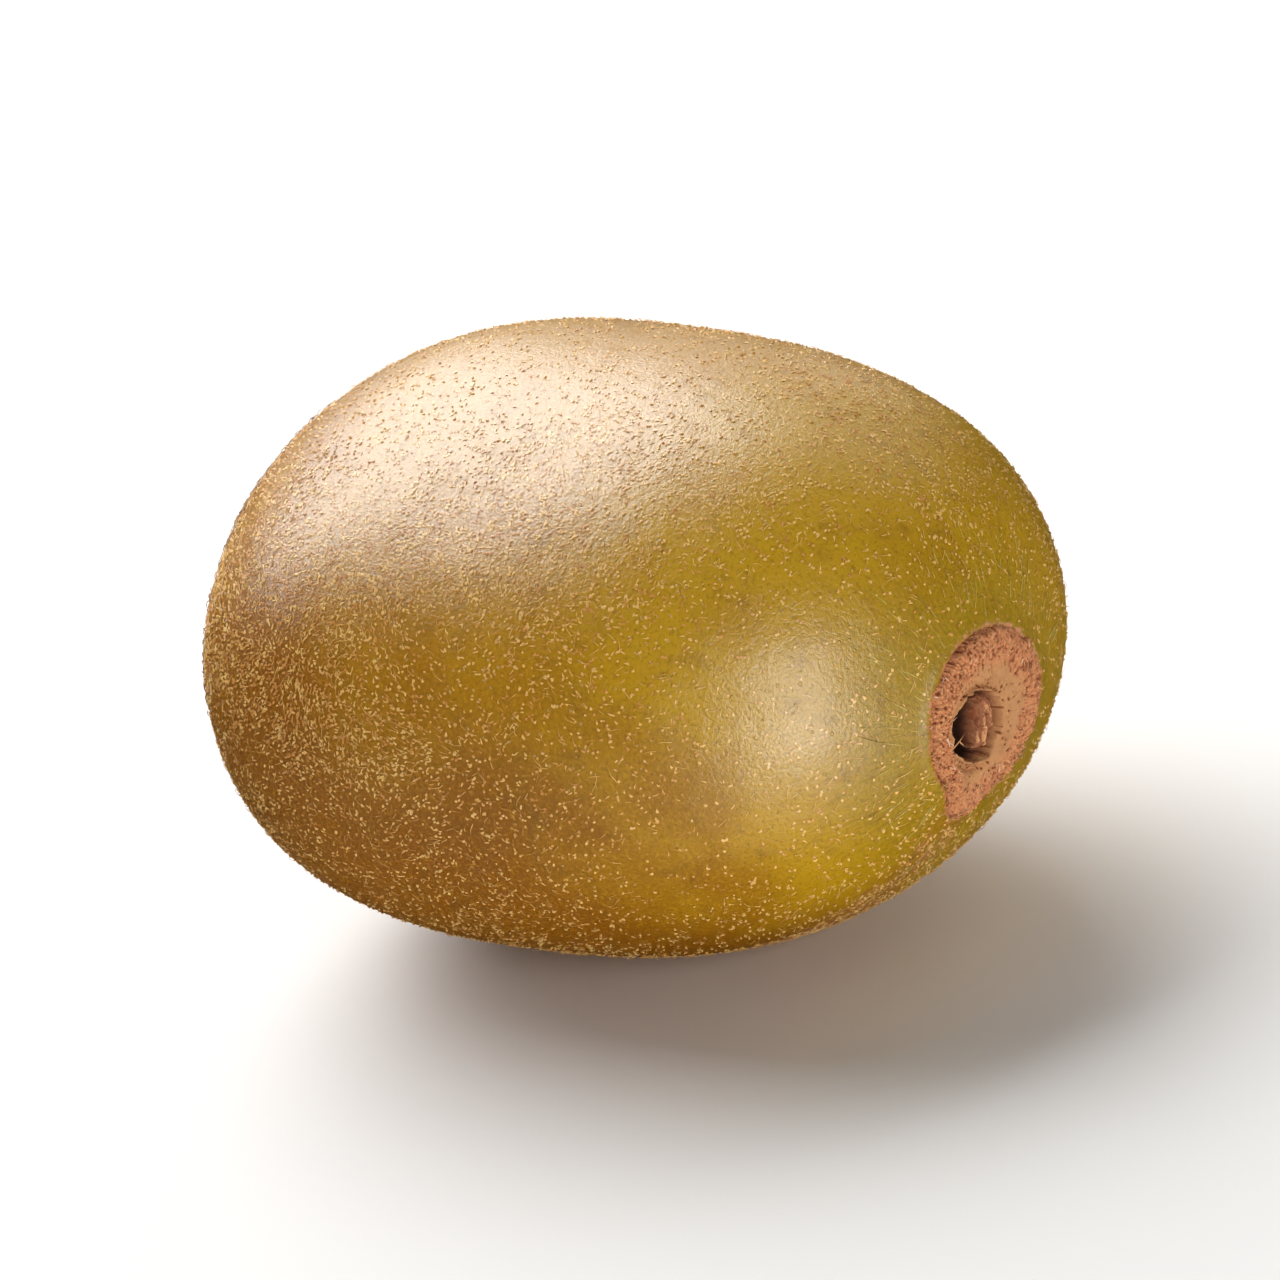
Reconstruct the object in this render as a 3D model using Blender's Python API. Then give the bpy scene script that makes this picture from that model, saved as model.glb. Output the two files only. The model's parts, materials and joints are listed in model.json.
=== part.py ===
"""A gold kiwi fruit at real size, lying on its wide side with its stem end towards +X.

Everything is in metres, +Z up. The fruit is one piece, so it is one solid: a sphere whose points
are moved onto a barrel form, with the corky stem scar at one end, the dried nub of the blossom at
the other and a small flat spot underneath to rest on.
"""
import math

import bmesh
import bpy
from mathutils import Vector, noise

# The barrel, measured from its widest section
STEM_REACH = 0.0390
TIP_REACH = 0.0300
HALF_WIDTH = 0.0278
HALF_HEIGHT = 0.0234
# How square each end is: 2 is an ellipse, more is a fuller shoulder
STEM_FULLNESS = 2.67
TIP_FULLNESS = 2.62
# Turn of the oval section, and how far its middle drifts at DRIFT_LENGTH from the widest section
OVAL_TURN = math.radians(3.0)
DRIFT_LENGTH = 0.035
SIDE_BOW = 0.0001
LIFT_BOW = 0.0004
LIFT_SLOPE = 0.0017
# Unevenness of the skin
LUMP_HEIGHT = 0.0001
LUMP_SCALE = 2.2
# The direction in the fruit's own frame that points up once it has settled, and its flat spot
SETTLED_UP = Vector((-0.083, -0.055, 0.995))
FLAT_DEPTH = 0.00025

# The stem scar: a drop-shaped corky patch round a sunken plug, off the fruit's axis
SCAR_OFFSET = Vector((0.0, -0.111, -0.072))
SCAR_RADIUS = 0.0066
SCAR_SKEW = 0.26
SCAR_SKEW_ANGLE = math.radians(17.0)
TAIL_LENGTH = 0.0020
TAIL_ANGLE = math.radians(-101.0)
TAIL_SPREAD = math.radians(19.0)
RIM_HEIGHT = 0.00045
RIM_START = 0.66
RIM_SOFTNESS = 0.08
RIM_ROUGHNESS = 0.00025
DISC_HEIGHT = 0.00012
CRATER_RADII = (0.0026, 0.0031)
CRATER_DEPTH = 0.0020
PLUG_CENTRE = (0.0009, -0.0001)
PLUG_RADII = (0.0017, 0.0028)
PLUG_RISE = 0.0016
GRAIN_SIZE = 0.0016
# Where each soft step of the scar starts and ends, as shares of the way to the edge it follows
RIM_SLOPE = (0.93, 1.05)
SCAR_SLOPE = (0.95, 1.05)
CRATER_WALL = (0.85, 1.12)
PLUG_WALL = (0.75, 1.10)

# The dried nub at the blossom end, in its shallow dimple
NUB_RADIUS = 0.0020
NUB_HEIGHT = 0.0009
NUB_LOBES = 7
NUB_LOBE_SHARE = 0.3
NUB_PIT_DEPTH = 0.0004
DIMPLE_RADIUS = 0.0055
DIMPLE_DEPTH = 0.0004
# Where each soft step of the nub starts and ends, as shares of its radius or of the dimple's
NUB_SLOPE = (0.45, 1.15)
NUB_LOBE_SLOPE = (0.2, 0.7)
NUB_PIT_SLOPE = (0.1, 0.5)
DIMPLE_SLOPE = (0.2, 1.0)

# The mesh: more rings near both ends, where the small forms are
SEGMENTS = 90
RINGS = 58
CROWDING = 0.84
STEM_CROWDING = 1.3
SCAR_EDGE_ANGLE = 0.24
CRATER_SHARE = 0.42
FADE_ANGLE = 0.9
POLE_GAP = 1e-6
CUT_TOLERANCE = 1e-7
SHARP_ANGLE = math.radians(50.0)

SKIN_COLOR = (0.42, 0.27, 0.05, 1.0)
SKIN_ROUGHNESS = 0.48


def clear_scene():
    for item in list(bpy.data.objects):
        bpy.data.objects.remove(item)


def smooth_step(low, high, value):
    """0 below low, 1 above high, with a soft curve between."""
    share = min(max((value - low) / (high - low), 0.0), 1.0)
    return share * share * (3.0 - 2.0 * share)


def scar_edge(angle):
    """Distance from the middle of the plug to the edge of the scar, round the scar."""
    edge = SCAR_RADIUS * (1.0 + SCAR_SKEW * math.cos(angle - SCAR_SKEW_ANGLE))
    turn = math.remainder(angle - TAIL_ANGLE, 2.0 * math.pi)
    return edge + TAIL_LENGTH * math.exp(-(turn / TAIL_SPREAD) ** 2)


def oval_edge(angle, radii):
    """Distance from an oval's middle to its edge, round the oval."""
    return 1.0 / math.hypot(math.cos(angle) / radii[0], math.sin(angle) / radii[1])


def pole_stretch(fullness):
    """Radius gained per angle at the end of a barrel, against the same angle on a sphere."""
    return math.sqrt(fullness / 2.0)


def ring_angle(polar, around):
    """Angle from the stem end for a point of the sphere, crowded so that rings meet the forms."""
    share = (polar / math.pi) ** STEM_CROWDING
    angle = math.pi * (share - CROWDING * math.sin(2.0 * math.pi * share) / (2.0 * math.pi))
    stretch = pole_stretch(STEM_FULLNESS)
    wide = HALF_WIDTH * stretch * math.cos(around)
    high = HALF_HEIGHT * stretch * math.sin(around)
    bearing = math.atan2(high, wide)
    crater_ring = oval_edge(bearing, CRATER_RADII) / CRATER_SHARE
    outward = smooth_step(CRATER_SHARE, 1.0, angle / SCAR_EDGE_ANGLE)
    ring = crater_ring + (scar_edge(bearing) - crater_ring) * outward
    fade = 1.0 - smooth_step(SCAR_EDGE_ANGLE, FADE_ANGLE, angle)
    return angle * (1.0 + (ring / math.hypot(wide, high) / SCAR_EDGE_ANGLE - 1.0) * fade)


def barrel_point(polar, around):
    """A point of the smooth fruit in its own frame, for a place on the sphere."""
    angle = ring_angle(polar, around)
    turned = Vector((math.cos(around), math.sin(around))) * math.sin(angle)
    direction = Vector((math.cos(angle), turned.x, turned.y))
    direction += SCAR_OFFSET * (1.0 + direction.x) / 2.0
    direction.normalize()
    stem_side = direction.x > 0.0
    reach = STEM_REACH if stem_side else TIP_REACH
    fullness = STEM_FULLNESS if stem_side else TIP_FULLNESS
    across = math.hypot(direction.y, direction.z)
    girth = pole_stretch(fullness)
    if across > POLE_GAP:
        girth = math.sqrt(max(1.0 - abs(direction.x) ** fullness, 0.0)) / across
    girth *= 1.0 + LUMP_HEIGHT / HALF_WIDTH * noise.noise(direction * LUMP_SCALE)
    wide, high = HALF_WIDTH * girth, HALF_HEIGHT * girth
    return Vector((reach * direction.x, wide * direction.y, high * direction.z))


def drift(point):
    """The point with the oval section turned and its middle bowed and sloped along the fruit."""
    along = point.x / DRIFT_LENGTH
    side = point.y * math.cos(OVAL_TURN) - point.z * math.sin(OVAL_TURN)
    lift = point.y * math.sin(OVAL_TURN) + point.z * math.cos(OVAL_TURN)
    bow = along * along
    return Vector((point.x, side + SIDE_BOW * bow, lift + LIFT_BOW * bow + LIFT_SLOPE * along))


def inside(offset, centre, radii):
    """How far inside an oval a place is: 0 in its middle, 1 on its edge."""
    return math.hypot((offset[0] - centre[0]) / radii[0], (offset[1] - centre[1]) / radii[1])


def scar_relief(offset):
    """Height of the scar above the skin, at an offset from the middle of the plug."""
    share = math.hypot(*offset) / scar_edge(math.atan2(offset[1], offset[0]))
    if share > SCAR_SLOPE[1]:
        return 0.0
    grain = noise.noise(Vector((offset[0], offset[1], 0.0)) / GRAIN_SIZE)
    rim = smooth_step(RIM_START - RIM_SOFTNESS, RIM_START + RIM_SOFTNESS, share)
    rim *= 1.0 - smooth_step(*RIM_SLOPE, share)
    on_scar = 1.0 - smooth_step(*SCAR_SLOPE, share)
    height = DISC_HEIGHT * on_scar + rim * (RIM_HEIGHT + RIM_ROUGHNESS * grain)
    crater = 1.0 - smooth_step(*CRATER_WALL, inside(offset, (0.0, 0.0), CRATER_RADII))
    plug = 1.0 - smooth_step(*PLUG_WALL, inside(offset, PLUG_CENTRE, PLUG_RADII))
    return height - crater * (CRATER_DEPTH - plug * (PLUG_RISE + RIM_ROUGHNESS * grain))


def nub_relief(offset):
    """Height of the blossom end's nub above the skin, at an offset from the fruit's axis."""
    reach = math.hypot(*offset) / NUB_RADIUS
    lobes = math.cos(NUB_LOBES * math.atan2(offset[1], offset[0])) * smooth_step(*NUB_LOBE_SLOPE, reach)
    nub = (1.0 - smooth_step(*NUB_SLOPE, reach)) * NUB_HEIGHT * (1.0 + NUB_LOBE_SHARE * lobes)
    pit = (1.0 - smooth_step(*NUB_PIT_SLOPE, reach)) * NUB_PIT_DEPTH
    dimple = (1.0 - smooth_step(*DIMPLE_SLOPE, reach * NUB_RADIUS / DIMPLE_RADIUS)) * DIMPLE_DEPTH
    return nub - pit - dimple


def shape_fruit(mesh):
    """Move each point of the sphere onto the fruit, with the relief of both ends."""
    middle = barrel_point(0.0, 0.0)
    for vertex in mesh.verts:
        polar = math.acos(max(-1.0, min(1.0, vertex.co.normalized().z)))
        around = math.atan2(vertex.co.y, vertex.co.x)
        point = barrel_point(polar, around)
        if point.x > 0.0:
            point.x += scar_relief((point.y - middle.y, point.z - middle.z))
        else:
            point.x -= nub_relief((point.y, point.z))
        vertex.co = drift(point)


def settle(mesh):
    """Turn the fruit to the way it lies at rest, with its weight over its lowest place."""
    turn = SETTLED_UP.rotation_difference(Vector((0.0, 0.0, 1.0))).to_matrix()
    bmesh.ops.transform(mesh, matrix=turn.to_4x4(), verts=mesh.verts)


def cut_flat_spot(mesh):
    """Cut the small flat spot that the fruit rests on, and close it."""
    floor = min(vertex.co.z for vertex in mesh.verts) + FLAT_DEPTH
    everything = mesh.verts[:] + mesh.edges[:] + mesh.faces[:]
    place, down = (0.0, 0.0, floor), (0.0, 0.0, -1.0)
    cut = bmesh.ops.bisect_plane(
        mesh, geom=everything, dist=CUT_TOLERANCE, plane_co=place, plane_no=down, clear_outer=True
    )
    rim = [item for item in cut["geom_cut"] if isinstance(item, bmesh.types.BMEdge)]
    bmesh.ops.contextual_create(mesh, geom=rim)


def centre_on_floor(mesh):
    """Put the middle of the fruit's box over the origin, with the flat spot at height 0."""
    low = [min(vertex.co[axis] for vertex in mesh.verts) for axis in range(3)]
    high = [max(vertex.co[axis] for vertex in mesh.verts) for axis in range(3)]
    middle = Vector(((low[0] + high[0]) / 2.0, (low[1] + high[1]) / 2.0, low[2]))
    bmesh.ops.translate(mesh, vec=-middle, verts=mesh.verts)


def skin_material():
    material = bpy.data.materials.new("kiwi_skin")
    material.use_nodes = True
    shader = material.node_tree.nodes["Principled BSDF"]
    shader.inputs["Base Color"].default_value = SKIN_COLOR
    shader.inputs["Roughness"].default_value = SKIN_ROUGHNESS
    shader.inputs["Metallic"].default_value = 0.0
    return material


def make_fruit(collection):
    mesh = bmesh.new()
    bmesh.ops.create_uvsphere(mesh, u_segments=SEGMENTS, v_segments=RINGS, radius=1.0)
    shape_fruit(mesh)
    settle(mesh)
    cut_flat_spot(mesh)
    centre_on_floor(mesh)
    bmesh.ops.recalc_face_normals(mesh, faces=mesh.faces)
    data = bpy.data.meshes.new("kiwi_fruit")
    mesh.to_mesh(data)
    mesh.free()
    data.materials.append(skin_material())
    data.shade_smooth()
    data.set_sharp_from_angle(angle=SHARP_ANGLE)
    fruit = bpy.data.objects.new("kiwi_fruit", data)
    collection.objects.link(fruit)
    return fruit


def main():
    clear_scene()
    collection = bpy.data.collections.new("kiwi_fruit_parts")
    bpy.context.scene.collection.children.link(collection)
    make_fruit(collection)


main()
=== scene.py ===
"""One whole gold kiwi fruit: its skin, corky stem scar, dried blossom nub and short hairs.

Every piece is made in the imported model's frame, in metres with +Z up and the stem end towards +X.
The file is laid out as an add-on whose operators each make one piece or one group of like pieces.
"""
import json
import math

import bpy
import numpy as np
from bpy.props import FloatProperty, FloatVectorProperty, IntProperty, PointerProperty
from mathutils import Matrix, Vector, noise
from mathutils.bvhtree import BVHTree

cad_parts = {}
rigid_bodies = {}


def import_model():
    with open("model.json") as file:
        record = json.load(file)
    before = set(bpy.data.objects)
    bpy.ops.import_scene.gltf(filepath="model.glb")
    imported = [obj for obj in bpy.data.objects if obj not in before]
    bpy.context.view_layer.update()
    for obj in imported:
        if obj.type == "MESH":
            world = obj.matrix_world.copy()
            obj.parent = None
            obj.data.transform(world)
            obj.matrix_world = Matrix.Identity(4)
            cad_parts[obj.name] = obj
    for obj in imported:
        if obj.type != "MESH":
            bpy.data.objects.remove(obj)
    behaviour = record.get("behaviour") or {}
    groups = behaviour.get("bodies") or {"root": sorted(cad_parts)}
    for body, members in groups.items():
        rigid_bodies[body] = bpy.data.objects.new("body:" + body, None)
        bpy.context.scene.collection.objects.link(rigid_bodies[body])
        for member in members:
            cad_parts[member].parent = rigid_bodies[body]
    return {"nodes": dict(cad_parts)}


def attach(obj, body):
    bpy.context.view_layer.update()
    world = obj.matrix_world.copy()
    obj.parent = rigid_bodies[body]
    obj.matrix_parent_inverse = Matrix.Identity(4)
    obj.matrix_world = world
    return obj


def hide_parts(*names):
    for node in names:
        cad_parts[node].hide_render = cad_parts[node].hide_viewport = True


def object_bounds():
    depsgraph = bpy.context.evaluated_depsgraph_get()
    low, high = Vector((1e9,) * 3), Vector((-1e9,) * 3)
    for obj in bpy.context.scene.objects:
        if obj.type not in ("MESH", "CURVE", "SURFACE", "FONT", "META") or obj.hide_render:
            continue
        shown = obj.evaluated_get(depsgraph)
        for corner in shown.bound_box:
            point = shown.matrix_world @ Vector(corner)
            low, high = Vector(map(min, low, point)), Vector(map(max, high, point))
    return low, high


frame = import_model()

bl_info = {
    "name": "Gold Kiwi Fruit",
    "version": (1, 0, 0),
    "blender": (4, 5, 0),
    "location": "3D View > Sidebar > Kiwi Fruit",
    "description": "Makes the skin, stem scar, blossom nub and hairs of one gold kiwi fruit",
    "category": "Object",
}

FRUIT_NODE = "kiwi_fruit"
BODY = "root"
MERGE_GAP = 1e-6
BOX_LOW, BOX_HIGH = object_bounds()

# How the fruit lies: the middle of each end, and the turn from its own frame to the way it rests
SCAR_MIDDLE = Vector((0.033763, -0.003364, 0.020390))
NUB_MIDDLE = Vector((-0.034608, 0.000088, 0.024494))
SETTLED_UP = Vector((-0.083, -0.055, 0.995))
OVAL_TURN = math.radians(3.0)
HALF_LENGTH = 0.035
AXIS_HEIGHT = 0.023

# The scar's drop-shaped edge, measured from the middle of its plug
SCAR_RADIUS = 0.0066
SCAR_SKEW = 0.26
SCAR_SKEW_ANGLE = math.radians(17.0)
TAIL_LENGTH = 0.0020
TAIL_ANGLE = math.radians(-101.0)
TAIL_SPREAD = math.radians(19.0)
BEHIND_SCAR = 0.012
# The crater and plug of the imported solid
CRATER_RADII = (0.0026, 0.0031)
CRATER_WALL = (1.12, 0.85)
PLUG_CENTRE = (0.0009, -0.0001)
PLUG_RADII = (0.0017, 0.0028)
PLUG_WALL = (1.10, 0.75)
SOLID_CRATER_DEPTH = 0.0020
SOLID_PLUG_RISE = 0.0016
SOLID_RIM_HEIGHT = 0.00045
SOLID_RIM_SLOPE = (0.93, 1.05)
# The deeper, narrower ones that show
HOLLOW_CENTRE = (-0.0001, 0.0002)
HOLLOW_RADII = (0.0024, 0.0027)
HOLLOW_WALL = (1.08, 0.90)
WOODY_PLUG_CENTRE = (0.0011, -0.0003)
WOODY_PLUG_RADII = (0.00150, 0.0029)
# Where the scar's own patch ends, the wall that closes it, and how its edge dips under the skin
SCAR_REACH = 1.11
SCAR_WALL = 0.0030
EDGE_DIP = 0.00055
EDGE_DIP_START = (0.93, 1.06)
# Shares of the way to the scar's edge: where the rim begins, and the pitted line that runs there
RIM_EDGE = (0.54, 0.72)
BORDER = 0.64
BORDER_EDGE = (0.06, 0.01)
# Sizes of the cork's details
TEAR_SIZE = 0.0013
FRAY_SIZE = 0.0005
CLUMP_SIZE = 0.0007
PIT_SIZE = 0.00032
PIT_SHUFFLE = 7.3
DISC_RELIEF = 0.00003
RIDGE_SIZE = 0.00050
FINE_RIDGE_SIZE = 0.00022
RIDGE_STRETCH = 0.3

# The skin's broad lumps and small dimples, which fade out over the floor, and the scar's sunken seat
LUMP_SIZE = 0.009
DIMPLE_SIZE = 0.003
NEAR_FLOOR = (0.0002, 0.003)
SEAT_DEPTH = 0.0036
SEAT_EDGE = (0.985, 0.92)
# The browner side of the skin, partly real brown towards the blossom end and partly painted shade towards
# the floor and the -Y side: how fast it comes in with place, towards -Y, -X and the floor, and from where
SHADE_AND_CHEEK_WAY = np.array((-14.6, -14.9, -18.0))
SHADE_AND_CHEEK_START = -0.77
# Sizes of the clouds, mottles, grains and corky dots in the colours
CLOUD_SIZE = 0.012
MOTTLE_SIZE = 0.0026
GRAIN_SIZE = 0.00030
DOT_SIZE = 0.0010
# Streaks that run out from the scar: their width by direction, and how fast they change on the way
STREAK_SIZE = 0.045
RAY_STRETCH = 6.0
# How far from the scar or the nub a colour of the skin ends, and where it is at its full strength
GREEN_ZONE = (0.017, 0.008)
STREAK_ZONE = (0.022, 0.011)
UMBER_ZONE = (0.023, 0.013)
HALO_ZONE = (0.0075, 0.0055)
# Heights of the finest relief, and the waxy gloss of the skin and its hairs as an index of refraction
MOTTLE_BUMP = 0.00010
GRAIN_BUMP = 0.00006
WAXY = 1.6

# The nub: its cut and closed patch, its folds, and its level under its threads
NUB_CUT = 1.25
NUB_WALL = 0.001
NUB_FRAY_SIZE = 0.0011
FOLD_SIZE = 0.00065
FINE_FOLD_SIZE = 0.0003
NUB_EDGE_DIP = 0.0005
NUB_BASE = 0.0009

# Where the fuzz is thick: two bands along the fruit, which twist by so many radians a metre over its
# stem half, are broken into patches and thin out near the scar
BAND_COUNT = 2
BAND_ANGLE = math.radians(30.0)
BAND_TWIST = 46.0
BAND_SHARPNESS = 3.0
PATCH_SIZE = 0.0075
PATCH_STRETCH = np.array((0.5, 1.0, 1.0))
PATCH_SEED = 323.3
SMALL_PATCH_SIZE = 0.0028
SPARSE_ZONE = (0.008, 0.028)
FUZZ_LIMITS = (0.02, 1.3)
CLEAR_OF_SCAR = 1.04
# Round stubs lie more evenly than the fuzz is thick, curled hairs less so, and thin ones everywhere
STUB_POWER = 0.65
CURL_POWER = 1.4
THIN_EXTRA = 0.08
# The line of tan fuzz that runs on past the scar's tail, and its half width and soft edge
TAIL_TIP = np.array((0.0312, -0.0052, 0.0130))
TAIL_END = np.array((0.0170, -0.0095, 0.0040))
TAIL_FUZZ_EDGE = (0.0040, 0.0004)
TAIL_FUZZ_SHARE = 0.4
# The tangle at the blossom end: its outer edge, the bare ring inside it and its tufts
TANGLE_OUTER = (0.021, 0.010)
TANGLE_INNER = (0.0045, 0.0075)
TUFT_SIZE = 0.0030
# Shares of the way to the scar's edge: where the long pale hairs and the slivers begin and end
RAY_INNER = (1.02, 1.15)
RAY_OUTER = (2.1, 1.2)
SLIVER_INNER = (0.60, 0.72)
SLIVER_OUTER = (1.06, 0.98)

# Hairs are flatter than they are wide. They root in the skin, and arch over part of a half circle
FLATNESS = 0.6
ROOT_DEPTH = 0.00002
ARCH_START = 0.08
ARCH_PART = 0.80
# How high long hairs lie, and how much of a hair's own roundness shows in its shading
HAIR_LIFT = 0.00004
HAIR_ROUNDNESS = 0.18
# The swirls that hairs lie in, how they lean to the stem or from it, and how much they stray
SWIRL_SIZE = 0.008
SWIRL_SEED = 5
STEM_LEAN = -0.35
HAIR_STRAY = 0.45
RAY_STRAY = 0.0010
STRAND_STRAY = 0.16
THREAD_STRAY = 0.0008
# Each hair's length, reach to one side, height off the skin and width
STUB_SHAPES = ((0.00028, 0.00004, 0.00013, 0.00025), (0.00023, -0.00003, 0.00014, 0.00025))
CURL_SHAPES = (
    (0.00038, 0.00018, 0.00010, 0.00015),
    (0.00044, -0.00014, 0.00009, 0.00014),
    (0.00032, 0.00008, 0.00011, 0.00016),
)
THIN_SHAPES = ((0.00100, 0.00034, 0.00030, 0.00006), (0.00085, -0.00028, 0.00036, 0.00006))
TANGLE_SHAPES = (
    (0.00090, 0.00055, 0.00035, 0.00012),
    (0.00115, -0.00050, 0.00028, 0.00011),
    (0.00070, 0.00040, 0.00048, 0.00012),
)
LONG_SHAPES = ((0.0030, 0.00045, 0.00002, 0.00007),)
SLIVER_SHAPES = ((0.00050, 0.00008, 0.00014, 0.00013),)
THREAD_PATH = (
    (0.0, 0.0, -0.0001), (0.00015, 0.0, 0.00018), (0.00045, 0.00008, 0.0003), (0.0009, 0.0002, 0.00028)
)
THREAD_WIDTH = 0.00020
# The least and the most of a hair's length and width, as shares of its shape's
SHORT_SPREAD = ((0.65, 1.35), (0.75, 1.2))
TANGLE_SPREAD = ((0.7, 1.4), (0.8, 1.2))
LONG_SPREAD = ((0.45, 1.5), (0.6, 1.2))
SLIVER_SPREAD = ((0.6, 1.3), (0.7, 1.3))
THREAD_SPREAD = ((0.5, 1.3), (0.7, 1.2))
# The slivers of the scar's tail: the way they run, across and up, how strictly, and where they begin
TAIL_WAY = (0.45, 0.9)
TAIL_ORDER = 3.0
TAIL_START = (-0.0035, -0.0060)
CRATER_MOUTH = -0.0022
# Strands across the crater: where each starts and which way it runs (out, across, up), and its length
STRANDS = (
    ((-0.0010, -0.0019, -0.0010), (0.10, 1.0, 0.35), 3.4),
    ((-0.0009, -0.0012, -0.0008), (0.05, 0.5, -0.85), 1.5),
    ((-0.0014, -0.0016, 0.0008), (0.10, 1.0, 0.10), 2.6),
)
STRAND_WIDTH = 1.1
# What the random draws of each piece start from
SEEDS = {
    "round_stubs": 11, "curled_hairs": 12, "thin_hairs": 13, "blossom_hairs": 21,
    "stem_hairs": 31, "tail_strands": 32, "scar_fibres": 41, "nub_threads": 51,
}
# How wide the patches of lighter and darker hairs are, for each material of hairs
SHADE_SIZES = {
    "kiwi_hair_short": 0.0009, "kiwi_hair_curly": 0.0011, "kiwi_hair_pale": 0.0015,
    "kiwi_strand": 0.0015, "kiwi_fibre": 0.0006, "kiwi_thread": 0.0008,
}

# Each lamp's bearing from the fruit (azimuth and elevation), its width and height, and its setting.
# Those below the floor stand for the light that a pale floor throws back
LAMP_DISTANCE = 1.0
LAMPS = {
    "key_light": ((-110.0, 44.5), (1.12, 0.98), "key_power"),
    "key_core": ((-112.0, 55.0), (0.55, 0.40), "core_power"),
    "low_light": ((56.0, -9.0), (0.28, 0.24), "low_power"),
    "fill_light": ((64.0, -32.0), (1.00, 0.90), "fill_power"),
    "side_light": ((60.0, 19.0), (0.46, 0.30), "side_power"),
    "back_light": ((-170.0, 38.0), (0.80, 0.60), "back_power"),
    "rim_light": ((-140.0, 11.0), (0.90, 0.30), "rim_power"),
}


def srgb(red, green, blue):
    """A colour as the eye names it, 0 to 255, as the light values that materials use."""
    parts = (part / 255.0 for part in (red, green, blue))
    return tuple(part / 12.92 if part <= 0.04045 else ((part + 0.055) / 1.055) ** 2.4 for part in parts)


def colour_property(name, description, *colour):
    limits = {"subtype": "COLOR", "size": 3, "min": 0.0, "max": 1.0}
    return FloatVectorProperty(name=name, description=description, default=srgb(*colour), **limits)


def length_property(name, description, default):
    limits = {"unit": "LENGTH", "min": 0.0, "precision": 5}
    return FloatProperty(name=name, description=description, default=default, **limits)


def angle_property(name, description, degrees):
    radians = math.radians(degrees)
    return FloatProperty(name=name, description=description, subtype="ANGLE", default=radians)


def power_property(name, description, default):
    return FloatProperty(name=name, description=description, unit="POWER", min=0.0, default=default)


def count_property(name, description, default):
    return IntProperty(name=name, description=description, min=0, default=default)


def refine_property(default):
    description = "Times that the faces are divided"
    return IntProperty(name="Refine", description=description, min=1, max=3, default=default)


class KiwiStageSettings(bpy.types.PropertyGroup):
    azimuth: angle_property("Camera azimuth", "Way round from the long side to the stem end", 42.06)
    elevation: angle_property("Camera elevation", "Height of the camera above the horizon", 23.12)
    roll: angle_property("Camera roll", "Turn of the camera about its line of sight", -13.73)
    distance: length_property("Camera distance", "From the camera to the middle of the fruit", 0.8)
    view_width: length_property("View width", "Width of what the camera sees at the fruit", 0.0979)
    floor_size: length_property("Floor size", "Side of the square floor", 8.0)
    floor_colour: colour_property("Floor", "Colour of the floor", 246, 245, 243)
    sky_strength: FloatProperty(name="Sky", description="Strength of the light all round", default=0.13)
    key_power: power_property("Key light", "The large soft light over the far side", 15.4)
    core_power: power_property("Key core", "The brighter middle of the key light", 1.0)
    low_power: power_property("Low light", "What the floor would throw back", 2.3)
    fill_power: power_property("Fill light", "The wide soft part of what the floor throws back", 1.6)
    side_power: power_property("Side light", "The soft light past the stem end", 2.6)
    back_power: power_property("Back light", "The soft light behind the fruit", 1.0)
    rim_power: power_property("Rim light", "The low soft light behind the fruit", 1.0)


class KiwiSkinSettings(bpy.types.PropertyGroup):
    refine: refine_property(2)
    inset: length_property("Inset", "Depth of the skin below the full size, for the hairs", 0.00016)
    lump_height: length_property("Lump height", "Height of the skin's broad lumps", 0.00007)
    gold: colour_property("Gold", "Main colour of the ripe skin", 188, 136, 0)
    olive: colour_property("Olive", "Greener skin towards the stem end", 200, 155, 8)
    green: colour_property("Green", "Skin round the stem scar", 160, 131, 14)
    # Brown is also laid on the lower -Y side of the skin as painted shade
    brown: colour_property("Brown", "Skin of the browner cheek", 154, 93, 0)
    umber: colour_property("Umber", "Skin under the thick fuzz of the blossom end", 140, 86, 6)
    halo: colour_property("Halo", "Smooth skin round the blossom nub", 170, 106, 24)
    dark: colour_property("Dark", "Small dark mottles", 130, 86, 0)
    light: colour_property("Light", "Lighter grains of the skin", 212, 154, 26)
    speck: colour_property("Speck", "Pale corky dots on the skin", 208, 160, 78)


class KiwiScarSettings(bpy.types.PropertyGroup):
    refine: refine_property(3)
    grain_size: length_property("Grain size", "Width of the corky grains on the rim", 0.00034)
    grain_height: length_property("Grain height", "Height of the corky grains on the rim", 0.00014)
    pit_depth: length_property("Pit depth", "Depth of the dark pits in the cork", 0.00022)
    ridge_height: length_property("Ridge height", "Height of the ridges on the plug", 0.00046)
    crater_depth: length_property("Crater depth", "Depth of the crater beside the plug", 0.0034)
    plug_rise: length_property("Plug rise", "Height of the plug above the crater's bottom", 0.0028)
    rim: colour_property("Rim", "Pinkish cork of the rim", 208, 138, 92)
    # Light fibres of the cork, laid on raised grains and ridges: partly their own colour and partly painted
    # highlight
    grain: colour_property("Grain", "Light grains and fibres of the rim", 232, 172, 116)
    # Darker cork in random patches, and painted shade in the pits and low relief
    pit_and_shade: colour_property("Pit", "Dark pits between the grains", 128, 68, 38)
    disc: colour_property("Disc", "Smooth tan disc inside the rim", 194, 140, 92)
    plug: colour_property("Plug", "Woody plug in the crater", 158, 102, 70)
    # Painted shade at the bottom of the crater
    hollow: colour_property("Hollow", "Bottom of the crater", 52, 27, 16)


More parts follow.
